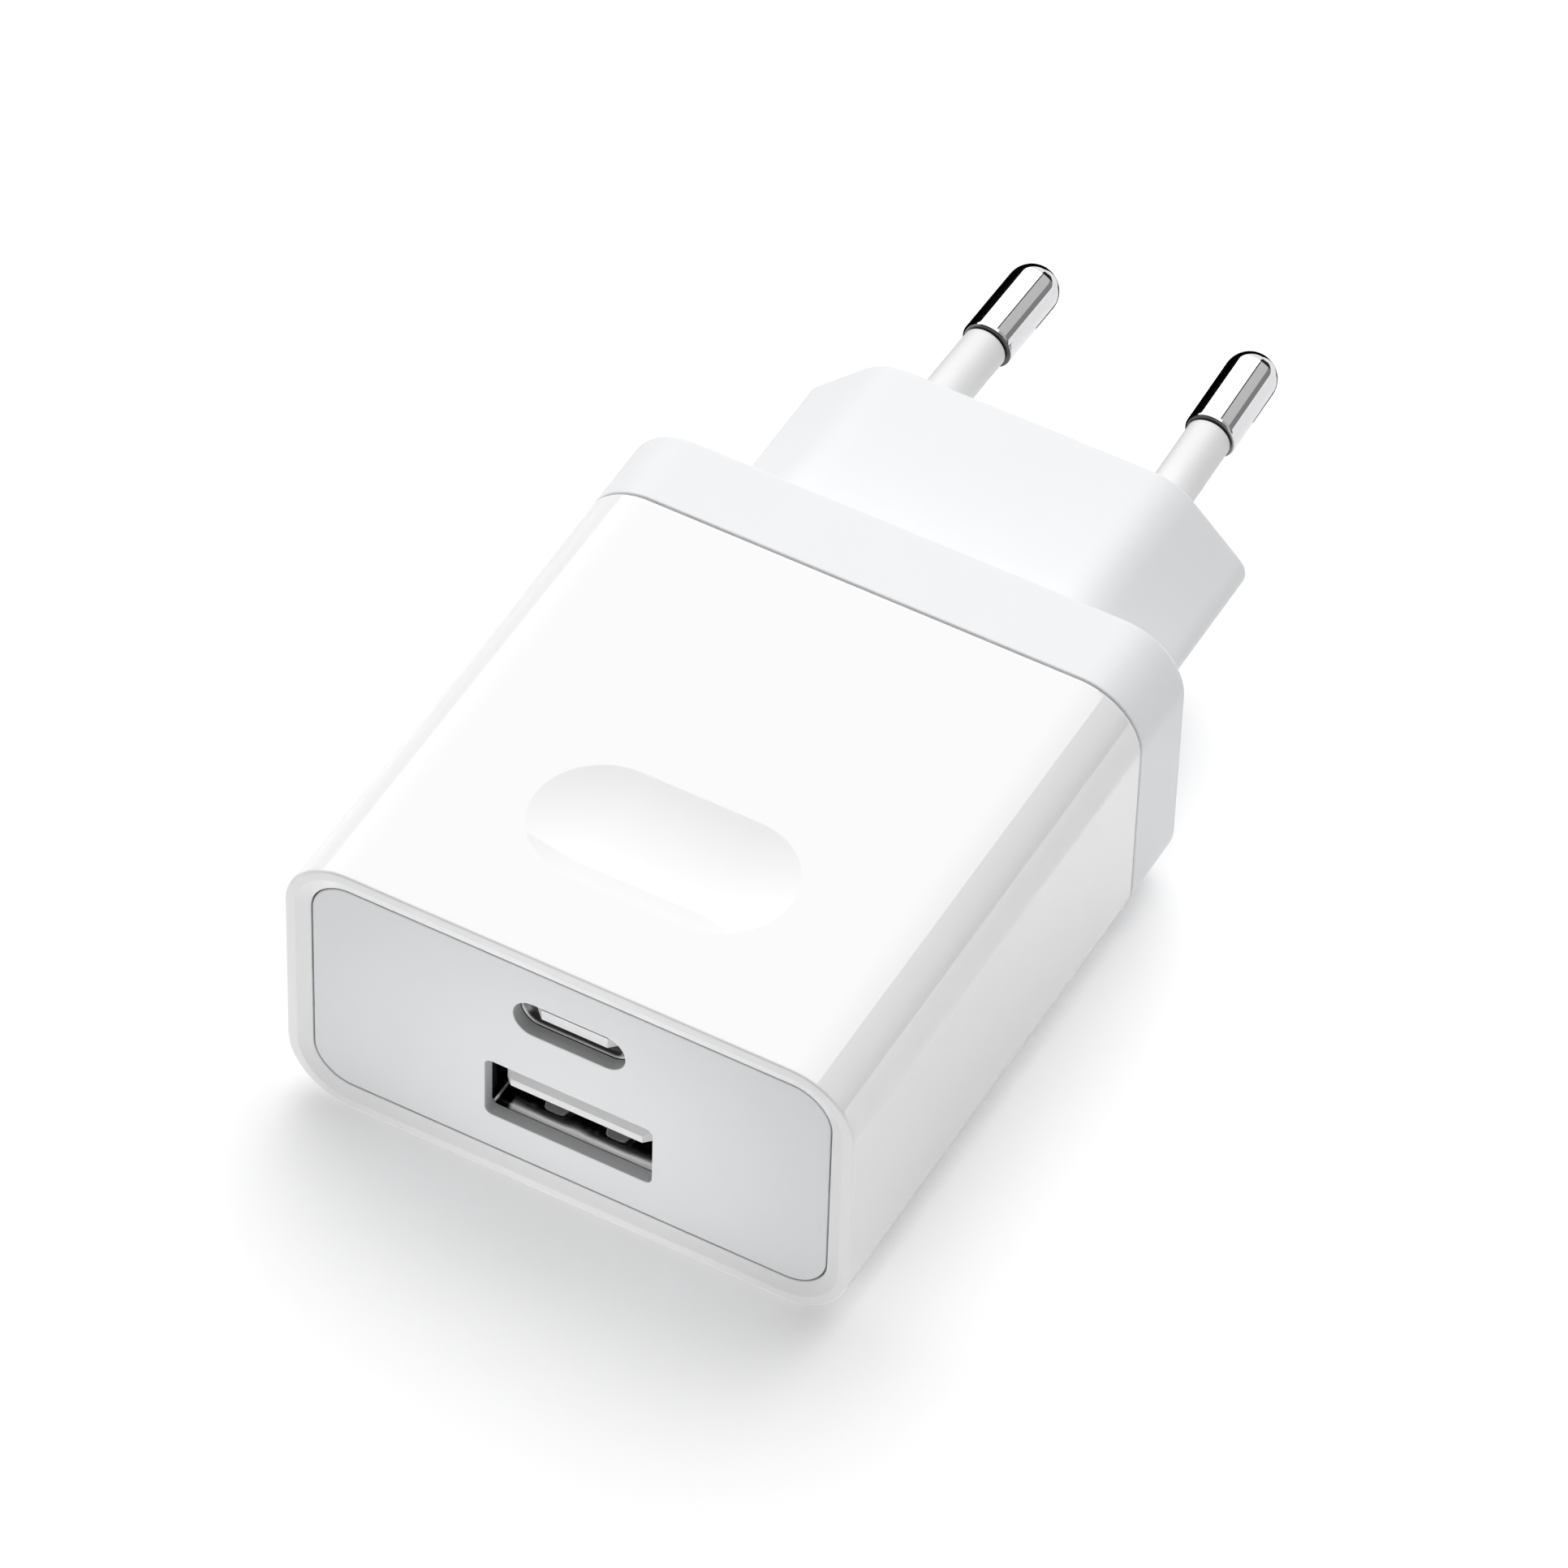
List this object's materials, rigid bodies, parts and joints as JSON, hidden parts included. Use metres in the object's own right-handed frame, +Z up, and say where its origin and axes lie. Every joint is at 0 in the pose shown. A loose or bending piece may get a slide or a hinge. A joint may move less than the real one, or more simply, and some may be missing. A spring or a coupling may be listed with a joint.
{
  "type": "usb wall charger",
  "caption": "Rounded box mains charger with a pointed plug boss and sleeved round pins at one end and a framed grey panel with USB-A and USB-C ports at the other.",
  "frame": {"origin": "on the resting surface, under the middle of the charger's whole length and width", "axes": "+X to the right seen from the ports, +Y from the ports to the pins, +Z up from the broad side that it lies on"},
  "size_m": [0.0428, 0.0834, 0.023],
  "materials": {
    "casing": "glossy white moulding",
    "cover": "satin cool white moulding",
    "panel": "fine matte light grey",
    "pin_sleeve": "satin white",
    "pin": "polished nickel plate",
    "strap": "bare brass",
    "port_shell": "bright rolled steel",
    "port_insulator": "white moulding",
    "contact": "gold plate",
    "board": "green solder mask",
    "chip": "black moulding",
    "ferrite": "dark sintered ferrite",
    "bobbin": "off-white moulding",
    "winding": "enamelled copper wire",
    "tape": "yellow film tape",
    "can_sleeve": "dark shrink sleeve on a can",
    "can_metal": "bare can",
    "fuse": "beige ceramic coat",
    "disc": "blue dipped coat"
  },
  "bodies": {
    "charger": {"main_shell": "casing", "front_panel": "panel", "rear_cover": "cover", "pin_left": "pin", "pin_right": "pin", "pin_sleeve_left": "pin_sleeve", "pin_sleeve_right": "pin_sleeve", "pin_strap_left": "strap", "pin_strap_right": "strap", "usb_a_shell": "port_shell", "usb_a_insulator": "port_insulator", "usb_c_shell": "port_shell", "usb_c_insulator": "port_insulator", "usb_c_contacts_upper": "contact", "usb_c_contacts_lower": "contact", "main_board": "board", "riser_board": "board", "riser_header": "chip", "transformer_core_lower": "ferrite", "transformer_core_upper": "ferrite", "transformer_bobbin": "bobbin", "transformer_winding": "winding", "transformer_tape": "tape", "bulk_capacitor_1": "can_sleeve", "bulk_capacitor_2": "can_sleeve", "output_capacitor_1": "can_metal", "output_capacitor_2": "can_metal", "input_choke": "ferrite", "fuse_resistor": "fuse", "safety_capacitor": "disc", "bridge_rectifier": "chip", "primary_controller": "chip", "rectifier_controller": "chip", "port_controller": "chip"},
    "contact_1": {"usb_a_contact_1": "contact"},
    "contact_2": {"usb_a_contact_2": "contact"},
    "contact_3": {"usb_a_contact_3": "contact"},
    "contact_4": {"usb_a_contact_4": "contact"},
    "spring_left": {"usb_a_spring_left": "port_shell"},
    "spring_right": {"usb_a_spring_right": "port_shell"}
  },
  "joints": [
    {"name": "contact_1_flex", "type": "hinge", "parent": "charger", "child": "contact_1", "pos_m": [-0.0035, -0.03025, 0.00815], "axis": [-1, 0, 0], "range_deg": [0, 3.5], "stiffness_Nm_per_rad": 0.067},
    {"name": "contact_2_flex", "type": "hinge", "parent": "charger", "child": "contact_2", "pos_m": [-0.001, -0.03025, 0.00815], "axis": [-1, 0, 0], "range_deg": [0, 3.5], "stiffness_Nm_per_rad": 0.067},
    {"name": "contact_3_flex", "type": "hinge", "parent": "charger", "child": "contact_3", "pos_m": [0.001, -0.03025, 0.00815], "axis": [-1, 0, 0], "range_deg": [0, 3.5], "stiffness_Nm_per_rad": 0.067},
    {"name": "contact_4_flex", "type": "hinge", "parent": "charger", "child": "contact_4", "pos_m": [0.0035, -0.03025, 0.00815], "axis": [-1, 0, 0], "range_deg": [0, 3.5], "stiffness_Nm_per_rad": 0.067},
    {"name": "spring_left_flex", "type": "hinge", "parent": "charger", "child": "spring_left", "pos_m": [-0.00235, -0.03284, 0.00505], "axis": [1, 0, 0], "range_deg": [0, 4.5], "stiffness_Nm_per_rad": 0.18},
    {"name": "spring_right_flex", "type": "hinge", "parent": "charger", "child": "spring_right", "pos_m": [0.00235, -0.03284, 0.00505], "axis": [1, 0, 0], "range_deg": [0, 4.5], "stiffness_Nm_per_rad": 0.18}
  ],
  "couplings": [
    {"joint": "contact_2_flex", "follows": "contact_1_flex", "ratio": 1},
    {"joint": "contact_3_flex", "follows": "contact_1_flex", "ratio": 1},
    {"joint": "contact_4_flex", "follows": "contact_1_flex", "ratio": 1},
    {"joint": "spring_left_flex", "follows": "contact_1_flex", "ratio": 1.25},
    {"joint": "spring_right_flex", "follows": "contact_1_flex", "ratio": 1.25}
  ]
}
